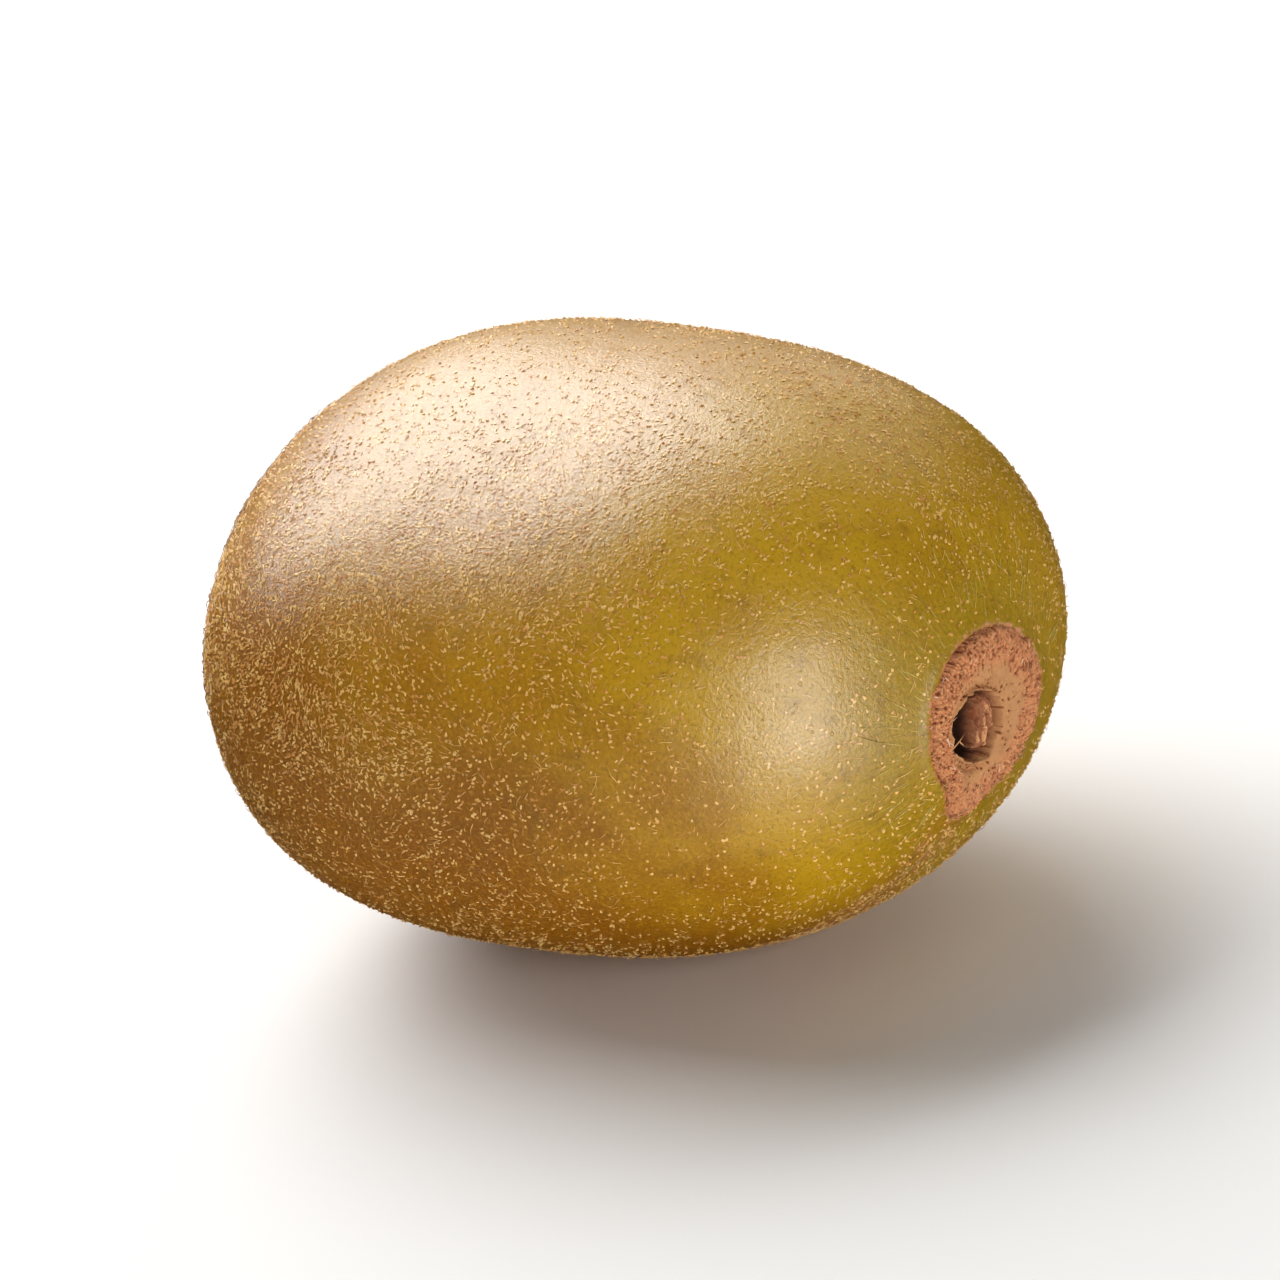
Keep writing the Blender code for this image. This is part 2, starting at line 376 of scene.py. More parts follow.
class KiwiHairSettings(bpy.types.PropertyGroup):
    stub_count: count_property("Stubs", "Round stubs on the skin", 19000)
    curl_count: count_property("Curls", "Short curled hairs on the skin", 13000)
    fine_count: count_property("Fine hairs", "Thin longer hairs on the skin", 6500)
    tangle_count: count_property("Tangle", "Longer curly hairs at the blossom end", 8000)
    ray_count: count_property("Rays", "Long fine hairs pointing away from the scar", 130)
    streak_count: count_property("Strands", "Strands that run on past the scar's tail", 110)
    fibre_count: count_property("Fibres", "Slivers of cork on the scar", 420)
    stub: colour_property("Stub", "Short hairs", 253, 203, 116)
    stub_dark: colour_property("Dark stub", "Older short hairs", 220, 152, 72)
    tangle: colour_property("Tangle", "Curly hairs", 214, 168, 108)
    tangle_dark: colour_property("Dark tangle", "Older curly hairs", 164, 112, 62)
    ray: colour_property("Ray", "Long pale hairs by the scar", 226, 204, 110)
    ray_dark: colour_property("Dark ray", "Duller hairs by the scar", 188, 156, 44)
    fibre: colour_property("Fibre", "Slivers of cork on the scar", 226, 164, 108)
    fibre_dark: colour_property("Dark fibre", "Browner slivers of cork", 172, 104, 66)


class KiwiNubSettings(bpy.types.PropertyGroup):
    refine: refine_property(3)
    reach: length_property("Reach", "Radius of the patch that the nub covers", 0.0028)
    crumple_height: length_property("Crumple height", "Height of the crown's folds", 0.00022)
    thread_count: count_property("Threads", "Dried threads in the crown", 60)
    crown: colour_property("Crown", "Dark red-brown dried crown", 128, 66, 40)
    ash: colour_property("Ash", "Grey weathered tips", 156, 132, 120)
    # Painted shade in the pits of the crown
    core: colour_property("Core", "Pits of the crown", 54, 22, 12)


class KiwiSettings(bpy.types.PropertyGroup):
    stage: PointerProperty(type=KiwiStageSettings)
    skin: PointerProperty(type=KiwiSkinSettings)
    scar: PointerProperty(type=KiwiScarSettings)
    hair: PointerProperty(type=KiwiHairSettings)
    nub: PointerProperty(type=KiwiNubSettings)


class Value:
    """A socket of a material. Python arithmetic on it adds the Math nodes."""

    def __init__(self, recipe, socket):
        self.recipe = recipe
        self.socket = socket

    def __add__(self, other):
        return self.recipe.math("ADD", self, other)

    def __radd__(self, other):
        return self.recipe.math("ADD", other, self)

    def __sub__(self, other):
        return self.recipe.math("SUBTRACT", self, other)

    def __mul__(self, other):
        return self.recipe.math("MULTIPLY", self, other)


class Recipe:
    """One material in the making."""

    def __init__(self, name, roughness, specular):
        self.material = bpy.data.materials.new(name)
        self.material.use_nodes = True
        self.tree = self.material.node_tree
        self.shader = self.tree.nodes["Principled BSDF"]
        self.shader.inputs["Specular IOR Level"].default_value = specular
        self.feed(self.shader.inputs["Roughness"], roughness)

    def feed(self, socket, value):
        """Link a Value to a socket, or set the socket to a number, a vector or a colour."""
        if isinstance(value, Value):
            self.tree.links.new(value.socket, socket)
        elif socket.type == "RGBA":
            socket.default_value = (*value[:3], 1.0)
        else:
            socket.default_value = value

    def node(self, kind, sockets, output=0, **settings):
        """Add a node: its settings first, then what its sockets take. Gives one of its outputs."""
        made = self.tree.nodes.new(kind)
        for name, setting in settings.items():
            setattr(made, name, setting)
        for name, value in sockets.items():
            self.feed(made.inputs[name], value)
        return Value(self, made.outputs[output])

    def math(self, operation, first, second):
        return self.node("ShaderNodeMath", {0: first, 1: second}, operation=operation)

    def place(self):
        return self.node("ShaderNodeTexCoord", {}, output="Object")

    def distance(self, place, point):
        sockets = {0: place, 1: tuple(point)}
        return self.node("ShaderNodeVectorMath", sockets, output="Value", operation="DISTANCE")

    def drawn(self, name, output="Fac"):
        """What a piece's own attribute holds."""
        return self.node("ShaderNodeAttribute", {}, output=output, attribute_name=name)

    def clouds(self, place, size, detail=2.0, roughness=0.5):
        """Soft noise, 0 to 1, with features of that size."""
        sockets = {"Vector": place, "Scale": 1.0 / size, "Detail": detail, "Roughness": roughness}
        return self.node("ShaderNodeTexNoise", sockets)

    def cells(self, place, size):
        """Distance to the nearest of some scattered middles, about that size apart."""
        sockets = {"Vector": place, "Scale": 1.0 / size}
        return self.node("ShaderNodeTexVoronoi", sockets, output="Distance")

    def ramp(self, value, low, high):
        """0 below low and 1 above high, with a soft step between. It falls if low is above high."""
        sockets = {"Value": value, "From Min": low, "From Max": high}
        return self.node("ShaderNodeMapRange", sockets, interpolation_type="SMOOTHSTEP")

    def mix(self, share, first, second):
        sockets = {0: share, 6: first, 7: second}
        return self.node("ShaderNodeMix", sockets, output=2, data_type="RGBA")

    def bump(self, height, distance, under=None):
        sockets = {"Height": height, "Distance": distance}
        if under is not None:
            sockets["Normal"] = under
        return self.node("ShaderNodeBump", sockets)

    def finish(self, colour, normal=None):
        self.feed(self.shader.inputs["Base Color"], colour)
        if normal is not None:
            self.feed(self.shader.inputs["Normal"], normal)
        return self.material


def skin_material(skin, cork):
    """Gold skin, olive and green towards the scar and brown towards the blossom end, with fine dots. It is
    also painted browner towards the floor and the -Y side, as painted shade.
    """
    recipe = Recipe("kiwi_skin", 0.34, 1.0)
    recipe.feed(recipe.shader.inputs["IOR"], WAXY)
    place = recipe.place()
    ray = recipe.drawn("stem_ray", output="Vector")
    broad = recipe.clouds(place, CLOUD_SIZE, detail=3.0)
    mottle = recipe.clouds(place, MOTTLE_SIZE, detail=4.0, roughness=0.62)
    grain = recipe.clouds(place, GRAIN_SIZE, detail=3.0, roughness=0.65)
    streaks = recipe.clouds(ray, STREAK_SIZE, detail=3.0, roughness=0.6)
    from_stem = recipe.distance(place, SCAR_MIDDLE)
    from_nub = recipe.distance(place, NUB_MIDDLE)
    drift = (broad - 0.5) * 0.9
    greener = recipe.ramp(recipe.drawn("stem_side") + drift, 0.18, 0.64)
    # Browner towards the blossom end, which is the skin's own colour, and towards the floor and the -Y
    # side, which is painted shade
    browner_and_shaded = recipe.ramp(recipe.drawn("cheek") + drift, 0.22, 0.92)
    near_stem = recipe.ramp(from_stem + (streaks - 0.5) * 0.009, *GREEN_ZONE)
    streaked = recipe.ramp(from_stem, *STREAK_ZONE)
    near_nub = recipe.ramp(from_nub + (mottle - 0.5) * 0.008, *UMBER_ZONE)
    bare_ring = recipe.ramp(from_nub + (mottle - 0.5) * 0.003, *HALO_ZONE)
    dots = recipe.ramp(recipe.cells(place, DOT_SIZE), 0.15, 0.09)
    edge = recipe.ramp(recipe.drawn("scar_share") + (grain - 0.5) * 0.30, 1.03, 0.99)

    colour = recipe.mix(greener, skin.gold, skin.olive)
    colour = recipe.mix(browner_and_shaded, colour, skin.brown)
    colour = recipe.mix(near_stem * 0.8, colour, skin.green)
    colour = recipe.mix(streaked * recipe.ramp(streaks, 0.50, 0.64) * 0.20, colour, skin.brown)
    colour = recipe.mix(streaked * recipe.ramp(streaks, 0.46, 0.36) * 0.30, colour, skin.olive)
    colour = recipe.mix(near_nub * 0.85, colour, skin.umber)
    colour = recipe.mix(bare_ring, colour, skin.halo)
    colour = recipe.mix(recipe.ramp(broad, 0.52, 0.66) * 0.22, colour, skin.brown)
    colour = recipe.mix(recipe.ramp(mottle, 0.52, 0.74) * 0.40, colour, skin.dark)
    colour = recipe.mix(recipe.drawn("tail_fuzz") * 0.45, colour, skin.halo)
    colour = recipe.mix(recipe.ramp(grain, 0.52, 0.68) * 0.42, colour, skin.dark)
    colour = recipe.mix(recipe.ramp(grain, 0.48, 0.34) * 0.45, colour, skin.light)
    colour = recipe.mix(dots * 0.7, colour, skin.speck)
    colour = recipe.mix(edge, colour, cork)

    recipe.feed(recipe.shader.inputs["Roughness"], 0.26 + mottle * 0.10 + edge * 0.3)
    normal = recipe.bump(mottle, MOTTLE_BUMP)
    normal = recipe.bump(dots * 0.8 - grain, GRAIN_BUMP, under=normal)
    return recipe.finish(colour, normal)


def scar_material(scar):
    """Pinkish granular cork on the rim, a smooth tan disc, and a woody plug in a crater whose bottom is
    painted near black as shade. Raised grains and ridges are lighter and pits darker, partly the cork's own
    colour and partly painted light and shade.
    """
    recipe = Recipe("kiwi_scar", 0.82, 0.25)
    place = recipe.place()
    relief = recipe.drawn("relief")
    speckle = recipe.clouds(place, GRAIN_SIZE, detail=4.0, roughness=0.65)
    blush = recipe.clouds(place, 0.0016, detail=3.0)
    # Lighter on raised grains and ridges, partly the cork's light fibres and partly painted highlight, and
    # darker in pits and low relief, partly painted shade
    raised_grain_and_highlight = recipe.ramp(relief + (speckle - 0.5) * 1.4, 0.58, 0.92)
    pitted = recipe.ramp(relief + (speckle - 0.5) * 1.2, 0.42, 0.10)
    colour = recipe.mix(recipe.drawn("rim"), scar.disc, scar.rim)
    colour = recipe.mix(recipe.drawn("plug"), colour, scar.plug)
    colour = recipe.mix(recipe.ramp(blush, 0.48, 0.70) * 0.25, colour, scar.pit_and_shade)
    colour = recipe.mix(raised_grain_and_highlight * 0.80, colour, scar.grain)
    colour = recipe.mix(pitted * 0.85, colour, scar.pit_and_shade)
    # The crater's bottom is painted near black, darker the deeper it lies: painted shade
    colour = recipe.mix(recipe.drawn("hollow"), colour, scar.hollow)
    return recipe.finish(colour, recipe.bump(speckle, GRAIN_BUMP))


def hair_material(name, light, dark):
    """Glossy plant hair, each lighter or darker than its neighbours, and darker far from the stem."""
    recipe = Recipe(name, 0.33, 1.0)
    recipe.feed(recipe.shader.inputs["IOR"], WAXY)
    place = recipe.place()
    from_stem = recipe.distance(place, SCAR_MIDDLE)
    shade = recipe.clouds(place, SHADE_SIZES[name], detail=1.0) + from_stem * 2.0 - 0.08
    return recipe.finish(recipe.mix(recipe.ramp(shade, 0.38, 0.66), light, dark))


def nub_material(nub):
    """Dried dark red-brown crown, greyer in patches and nearly black in its pits, which is painted shade.
    """
    recipe = Recipe("kiwi_nub", 0.85, 0.2)
    place = recipe.place()
    speckle = recipe.clouds(place, GRAIN_SIZE, detail=3.0, roughness=0.65)
    patches = recipe.clouds(place, NUB_FRAY_SIZE, detail=2.0)
    # Nearly black where the folds lie low: painted shade in the crown's pits
    pitted = recipe.ramp(recipe.drawn("relief") + (speckle - 0.5) * 0.6, 0.42, 0.10)
    colour = recipe.mix(recipe.ramp(patches, 0.45, 0.65) * 0.6, nub.crown, nub.ash)
    colour = recipe.mix(pitted, colour, nub.core)
    return recipe.finish(colour, recipe.bump(speckle, GRAIN_BUMP))


def floor_material(stage):
    recipe = Recipe("studio_floor", 0.9, 0.1)
    tone = recipe.clouds(recipe.place(), 0.5, detail=1.0)
    paler = tuple(min(1.0, part * 1.01) for part in stage.floor_colour)
    return recipe.finish(recipe.mix(tone, stage.floor_colour, paler))


def start_clean():
    """Object mode with nothing selected."""
    if bpy.context.object is not None and bpy.context.object.mode != "OBJECT":
        bpy.ops.object.mode_set(mode="OBJECT")
    bpy.ops.object.select_all(action="DESELECT")


def take_up(piece):
    """Select one piece alone and make it the active one."""
    start_clean()
    piece.select_set(True)
    bpy.context.view_layer.objects.active = piece


def points_of(piece):
    points = np.empty(len(piece.data.vertices) * 3, np.float32)
    piece.data.vertices.foreach_get("co", points)
    return points.reshape(-1, 3).astype(float)


def normals_of(piece):
    normals = np.empty(len(piece.data.vertices) * 3, np.float32)
    piece.data.vertex_normals.foreach_get("vector", normals)
    return normals.reshape(-1, 3).astype(float)


def move_points(piece, points):
    """Put a piece's points in place, inside the fruit's full size."""
    kept = np.clip(points, np.array(BOX_LOW), np.array(BOX_HIGH))
    piece.data.vertices.foreach_set("co", kept.astype(np.float32).ravel())
    piece.data.update()


def draw(piece, name, values):
    """Keep a number or a vector for each point, for the material to read."""
    vector = values.ndim == 2
    layer = piece.data.attributes.new(name, "FLOAT_VECTOR" if vector else "FLOAT", "POINT")
    layer.data.foreach_set("vector" if vector else "value", values.astype(np.float32).ravel())


def fruit_copy(name):
    """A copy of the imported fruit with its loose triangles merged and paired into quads."""
    piece = bpy.data.objects.new(name, frame["nodes"][FRUIT_NODE].data.copy())
    bpy.context.scene.collection.objects.link(piece)
    piece.data.materials.clear()
    take_up(piece)
    bpy.ops.object.mode_set(mode="EDIT")
    bpy.ops.mesh.select_all(action="SELECT")
    bpy.ops.mesh.remove_doubles(threshold=MERGE_GAP)
    bpy.ops.mesh.mark_sharp(clear=True)
    bpy.ops.mesh.tris_convert_to_quads()
    bpy.ops.object.mode_set(mode="OBJECT")
    bpy.ops.mesh.customdata_custom_splitnormals_clear()
    return piece


def refine(piece, levels):
    take_up(piece)
    finer = piece.modifiers.new("refine", "SUBSURF")
    finer.levels = finer.render_levels = levels
    bpy.ops.object.modifier_apply(modifier=finer.name)


def cut_away(piece, gone):
    """Delete the points of a piece that are marked as gone."""
    take_up(piece)
    bpy.context.tool_settings.mesh_select_mode = (True, False, False)
    bpy.ops.object.mode_set(mode="EDIT")
    bpy.ops.mesh.select_all(action="DESELECT")
    bpy.ops.object.mode_set(mode="OBJECT")
    piece.data.vertices.foreach_set("select", gone)
    bpy.ops.object.mode_set(mode="EDIT")
    bpy.ops.mesh.delete(type="VERT")
    bpy.ops.object.mode_set(mode="OBJECT")


def close_patch(piece, steps):
    """Close a patch inside the fruit: its open edge moves by each step and joins in one point."""
    take_up(piece)
    bpy.ops.object.mode_set(mode="EDIT")
    bpy.ops.mesh.select_mode(type="EDGE")
    bpy.ops.mesh.select_all(action="DESELECT")
    bpy.ops.mesh.select_non_manifold()
    for step in steps:
        bpy.ops.mesh.extrude_edges_move(TRANSFORM_OT_translate={"value": step})
    bpy.ops.mesh.select_mode(type="VERT")
    bpy.ops.mesh.merge(type="CENTER")
    # Extruding leaves the new faces in an order that changes from run to run, so they are sorted
    for step in steps:
        bpy.ops.mesh.select_more()
    bpy.ops.mesh.sort_elements(type="CURSOR_DISTANCE", elements={"FACE"})
    bpy.ops.object.mode_set(mode="OBJECT")


def smooth_step(low, high, value):
    """0 below low and 1 above high, with a soft curve between. It falls if low is above high."""
    share = np.clip((value - low) / (high - low), 0.0, 1.0)
    return share * share * (3.0 - 2.0 * share)


def clouds(points, size, seed=0.0):
    """Soft noise at each point, about -1 to 1, with features of that size."""
    shifted = points / size + seed
    return np.fromiter((noise.noise(Vector(point)) for point in shifted), float, len(points))


def grains(points, size):
    """Rounded grains of that width at each point: 1 in a grain's middle and 0 between grains."""
    near = (noise.voronoi(Vector(point))[0] for point in points / size)
    gaps = np.fromiter((found[1] - found[0] for found in near), float, len(points))
    return smooth_step(0.0, 0.5, gaps)


def pits(points, size, chance):
    """Small round pits at each point, 0 to 1 deep, in that share of the cells of a scatter."""
    depth = np.zeros(len(points))
    for index, point in enumerate(points / size):
        distances, middles = noise.voronoi(Vector(point))
        if noise.cell(middles[0] * PIT_SHUFFLE) < chance[index]:
            depth[index] = distances[0]
        else:
            depth[index] = 1.0
    return smooth_step(0.45, 0.20, depth)


def fruit_axes():
    """The fruit's own forward, across and up as columns, in the frame that it rests in."""
    settled = SETTLED_UP.rotation_difference(Vector((0.0, 0.0, 1.0))).to_matrix()
    return np.array(settled @ Matrix.Rotation(OVAL_TURN, 3, "X"))


AXES = fruit_axes()


def scar_edge(angle):
    """Distance from the middle of the plug to the edge of the scar, round the scar."""
    edge = SCAR_RADIUS * (1.0 + SCAR_SKEW * np.cos(angle - SCAR_SKEW_ANGLE))
    turn = (angle - TAIL_ANGLE + math.pi) % (2.0 * math.pi) - math.pi
    return edge + TAIL_LENGTH * np.exp(-((turn / TAIL_SPREAD) ** 2))


def scar_place(points):
    """Where points are on the scar: offset from the plug's middle, and share of the way to the edge."""
    local = (points - np.array(SCAR_MIDDLE)) @ AXES
    across, up = local[:, 1], local[:, 2]
    share = np.hypot(across, up) / scar_edge(np.arctan2(up, across))
    share[local[:, 0] < -BEHIND_SCAR] = 99.0
    return across, up, share


def oval_share(across, up, centre, radii):
    """How far inside an oval a place is: 0 in its middle and 1 on its edge."""
    return np.hypot((across - centre[0]) / radii[0], (up - centre[1]) / radii[1])


def gap_to(points, middle):
    return np.linalg.norm(points - np.array(middle), axis=1)


def fuzz_density(points):
    """How thick the short hairs stand, 0 to about 1: in bands and patches, thinning towards the scar."""
    around = np.arctan2(points[:, 2] - AXIS_HEIGHT, -points[:, 1])
    twist = BAND_TWIST * np.maximum(points[:, 0], 0.0)
    band = 0.5 + 0.5 * np.cos(BAND_COUNT * (around - BAND_ANGLE - twist))
    thinning = 0.50 + 0.50 * smooth_step(0.80, -0.30, points[:, 0] / HALF_LENGTH)
    thick = 0.25 + 1.10 * thinning * (0.04 + 0.96 * band**BAND_SHARPNESS)
    thick *= 0.35 + 0.65 * smooth_step(*SPARSE_ZONE, gap_to(points, SCAR_MIDDLE))
    patches = 0.5 + 0.5 * clouds(points * PATCH_STRETCH, PATCH_SIZE, seed=PATCH_SEED)
    patches += 0.25 * clouds(points, SMALL_PATCH_SIZE, seed=7.0)
    return np.clip(thick * (0.34 + 1.1 * smooth_step(0.15, 0.90, patches)), *FUZZ_LIMITS)


def tail_fuzz(points):
    """1 on the line of fuzz past the scar's tail, and 0 away from it."""
    way = TAIL_END - TAIL_TIP
    part = np.clip((points - TAIL_TIP) @ way / (way @ way), 0.0, 1.0)
    gap = np.linalg.norm(points - TAIL_TIP - part[:, None] * way, axis=1)
    return smooth_step(*TAIL_FUZZ_EDGE, gap)


def dress(piece, material):
    """Give a finished piece its material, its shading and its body."""
    piece.data.materials.clear()
    piece.data.materials.append(material)
    piece.data.shade_smooth()
    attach(piece, BODY)
    start_clean()


class KIWI_OT_fruit_skin(bpy.types.Operator):
    """Make the skin from a finer copy of the fruit, with soft lumps and a seat for the stem scar"""

    bl_idname = "kiwi.fruit_skin"
    bl_label = "Fruit skin"

    def execute(self, context):
        skin = context.scene.kiwi.skin
        piece = fruit_copy("fruit_skin")
        refine(piece, skin.refine)
        points, normals = points_of(piece), normals_of(piece)
        across, up, share = scar_place(points)
        bumpy = clouds(points, LUMP_SIZE, seed=3.0) + 0.4 * clouds(points, DIMPLE_SIZE, seed=5.0)
        above_floor = smooth_step(*NEAR_FLOOR, points[:, 2])
        height = (skin.lump_height * bumpy - skin.inset) * above_floor
        height -= SOLID_RIM_HEIGHT * smooth_step(*reversed(SOLID_RIM_SLOPE), share)
        seat = smooth_step(*SEAT_EDGE, share) * SEAT_DEPTH
        points = points + normals * height[:, None] - AXES[:, 0] * seat[:, None]
        move_points(piece, points)
        draw(piece, "stem_side", np.clip(points[:, 0] / HALF_LENGTH, 0.0, 1.0))
        # How far a point lies towards the blossom end, the -Y side and the floor, for the brown that is
        # partly painted shade
        draw(piece, "cheek", np.clip(points @ SHADE_AND_CHEEK_WAY - SHADE_AND_CHEEK_START, 0.0, 1.0))
        draw(piece, "scar_share", np.clip(share, 0.0, 2.0))
        draw(piece, "tail_fuzz", tail_fuzz(points))
        reach = np.maximum(np.hypot(across, up), MERGE_GAP)
        outward = gap_to(points, SCAR_MIDDLE) * RAY_STRETCH
        draw(piece, "stem_ray", np.stack([across / reach, up / reach, outward], axis=1))
        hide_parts(FRUIT_NODE)
        dress(piece, skin_material(skin, context.scene.kiwi.scar.rim))
        return {"FINISHED"}


class KIWI_OT_stem_scar(bpy.types.Operator):
    """Make the corky stem scar: granular rim, smooth disc, and a ridged plug in a deep crater whose bottom
    is painted dark as shade
    """

    bl_idname = "kiwi.stem_scar"
    bl_label = "Stem scar"

    def execute(self, context):
        scar = context.scene.kiwi.scar
        piece = fruit_copy("stem_scar")
        cut_away(piece, scar_place(points_of(piece))[2] > SCAR_REACH)
        refine(piece, scar.refine)
        self.roughen(piece, scar)
        inward = Vector(-AXES[:, 0] * SCAR_WALL)
        close_patch(piece, (inward, inward * 0.05))
        dress(piece, scar_material(scar))
        return {"FINISHED"}

    def roughen(self, piece, scar):
        """Deepen the crater round a narrower plug, and raise grains, pits and ridges on the cork."""
        points, normals = points_of(piece), normals_of(piece)
        across, up, share = scar_place(points)
        loose = 0.07 * clouds(points, TEAR_SIZE, seed=2.0) + 0.05 * clouds(points, FRAY_SIZE, seed=4.0)
        ragged = share + loose
        rim = smooth_step(*RIM_EDGE, ragged)
        crater, plug = self.torn_middle(across, up, loose)
        deep = crater * (scar.crater_depth - plug * scar.plug_rise)
        sunk = deep - self.solid_depth(across, up)

        grainy = grains(points, scar.grain_size) - 0.55 + 0.5 * clouds(points, CLUMP_SIZE, seed=6.0)
        border = smooth_step(*BORDER_EDGE, np.abs(ragged - BORDER))
        pitted = pits(points, PIT_SIZE, 0.07 * rim + 0.20 * border)
        grown = np.stack([points[:, 0], across, up * RIDGE_STRETCH], axis=1)
        ridges = clouds(grown, RIDGE_SIZE, seed=8.0) + 0.5 * clouds(grown, FINE_RIDGE_SIZE, seed=9.0)
        height = rim * scar.grain_height * grainy
        height -= (1.0 - crater) * scar.pit_depth * pitted
        height += (1.0 - rim) * (1.0 - crater) * DISC_RELIEF * clouds(points, FRAY_SIZE, seed=10.0)
        height += crater * (0.35 + 0.65 * plug) * scar.ridge_height * ridges
        height -= EDGE_DIP * smooth_step(*EDGE_DIP_START, ragged)
        move_points(piece, points + normals * height[:, None] - AXES[:, 0] * sunk[:, None])
        draw(piece, "rim", rim)
        # Height of the relief, for colours that are lighter on raised grains and darker in pits, partly
        # painted light and shade
        relief = 0.5 + rim * 0.45 * grainy + crater * 0.75 * ridges - 0.6 * pitted
        draw(piece, "relief", np.clip(relief, 0.0, 1.0))
        draw(piece, "plug", np.maximum(plug, smooth_step(0.05, 0.4, crater)))
        # How deep the crater lies, for the painted shade at its bottom
        draw(piece, "hollow", smooth_step(0.0007, 0.0019, deep))

    def torn_middle(self, across, up, loose):
        """Where the torn crater is, and where the woody plug stands in it, each 0 to 1."""
        hollow = oval_share(across, up, HOLLOW_CENTRE, HOLLOW_RADII) + 0.6 * loose
        crater = smooth_step(*HOLLOW_WALL, hollow)
        torn = oval_share(across, up, WOODY_PLUG_CENTRE, WOODY_PLUG_RADII) + 1.6 * loose
        return crater, crater * smooth_step(*PLUG_WALL, torn)

    def solid_depth(self, across, up):
        """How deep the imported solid's own crater is, with its plug."""
        crater = smooth_step(*CRATER_WALL, oval_share(across, up, (0.0, 0.0), CRATER_RADII))
        plug = smooth_step(*PLUG_WALL, oval_share(across, up, PLUG_CENTRE, PLUG_RADII))
        return crater * (SOLID_CRATER_DEPTH - plug * SOLID_PLUG_RISE)


def nub_place(points, nub):
    """Where points are on the blossom nub: along the fruit, and share of the way to its edge."""
    local = (points - np.array(NUB_MIDDLE)) @ AXES
    return local[:, 0], np.hypot(local[:, 1], local[:, 2]) / nub.reach


class KIWI_OT_blossom_nub(bpy.types.Operator):
    """Make the crumpled dried crown at the blossom end"""

    bl_idname = "kiwi.blossom_nub"
    bl_label = "Blossom nub"

    def execute(self, context):
        nub = context.scene.kiwi.nub
        piece = fruit_copy("blossom_nub")
        cut_away(piece, gap_to(points_of(piece), NUB_MIDDLE) > nub.reach * NUB_CUT)
        refine(piece, nub.refine)
        points, normals = points_of(piece), normals_of(piece)
        ragged = nub_place(points, nub)[1] + 0.22 * clouds(points, NUB_FRAY_SIZE, seed=1.0)
        folds = clouds(points, FOLD_SIZE, seed=2.0) + 0.6 * clouds(points, FINE_FOLD_SIZE, seed=3.0)
        height = nub.crumple_height * folds * smooth_step(1.0, 0.8, ragged)
        height -= NUB_EDGE_DIP * smooth_step(0.85, 1.1, ragged)
        move_points(piece, points + normals * height[:, None])
        draw(piece, "relief", np.clip(0.5 + 0.6 * folds, 0.0, 1.0))
        close_patch(piece, (Vector(AXES[:, 0] * NUB_WALL),))
        dress(piece, nub_material(nub))
        return {"FINISHED"}


def bend(length, sideways, height, steps):
    """A hair's path in steps: out of the skin, over and to one side."""
    path = []
    for step in range(steps + 1):
        part = step / steps
        rise = height * math.sin(math.pi * (ARCH_START + ARCH_PART * part))
        path.append((length * part, sideways * part * part, rise - ROOT_DEPTH))
    return path


def model_hair(path, width, taper):
    """One hair: a triangle extruded along its path and drawn to a tip. X runs along it, Z off the skin."""
    start_clean()
    facing_path = (0.0, math.pi / 2.0, 0.0)
    bpy.ops.mesh.primitive_circle_add(
        vertices=3, radius=width / 2.0, fill_type="NGON", location=path[0], rotation=facing_path
    )
    hair = bpy.context.object
    bpy.ops.object.mode_set(mode="EDIT")
    bpy.ops.mesh.select_mode(type="FACE")
    bpy.ops.mesh.select_all(action="SELECT")
    for start, end in zip(path, path[1:]):
        step = Vector(end) - Vector(start)
        bpy.ops.mesh.extrude_region_move(TRANSFORM_OT_translate={"value": step})
        bpy.ops.transform.resize(value=(taper, taper, taper), center_override=end)
    bpy.ops.mesh.merge(type="CENTER")
    bpy.ops.mesh.select_all(action="SELECT")
    bpy.ops.mesh.normals_make_consistent(inside=False)
    bpy.ops.mesh.quads_convert_to_tris()
    bpy.ops.object.mode_set(mode="OBJECT")
    bpy.ops.object.transform_apply(location=True, rotation=True, scale=True)
    faces = np.array([face.vertices[:] for face in hair.data.polygons])
    shape = (points_of(hair), faces)
    bpy.data.objects.remove(hair)
    return shape


def model_hairs(shapes, steps, taper):
    """Model each of some shapes of hair that bend in so many steps."""
    return [model_hair(bend(*shape, steps), width, taper) for *shape, width in shapes]


def vary(dice, count, spread):
    """Random lengths and widths of that many hairs."""
    return [dice.uniform(least, most, count) for least, most in spread]


def scatter(piece, density, count, dice):
    """Random places on a piece, more where it is dense: the places and the way the skin faces."""
    mesh = piece.data
    mesh.calc_loop_triangles()
    corners = np.empty(len(mesh.loop_triangles) * 3, np.int32)
    mesh.loop_triangles.foreach_get("vertices", corners)
    corners = corners.reshape(-1, 3)
    triangles = points_of(piece)[corners]
    sides = triangles[:, 1:] - triangles[:, :1]
    area = np.linalg.norm(np.cross(sides[:, 0], sides[:, 1]), axis=1)
    weight = area * density[corners].mean(axis=1)
    chosen = dice.choice(len(corners), size=count, p=weight / weight.sum())
    first, second = dice.random((2, count))
    over = first + second > 1.0
    first[over], second[over] = 1.0 - first[over], 1.0 - second[over]
    shares = np.stack([1.0 - first - second, first, second], axis=1)[:, :, None]
    places = (triangles[chosen] * shares).sum(axis=1)
    facing = (normals_of(piece)[corners[chosen]] * shares).sum(axis=1)
    return places, facing / np.linalg.norm(facing, axis=1, keepdims=True)


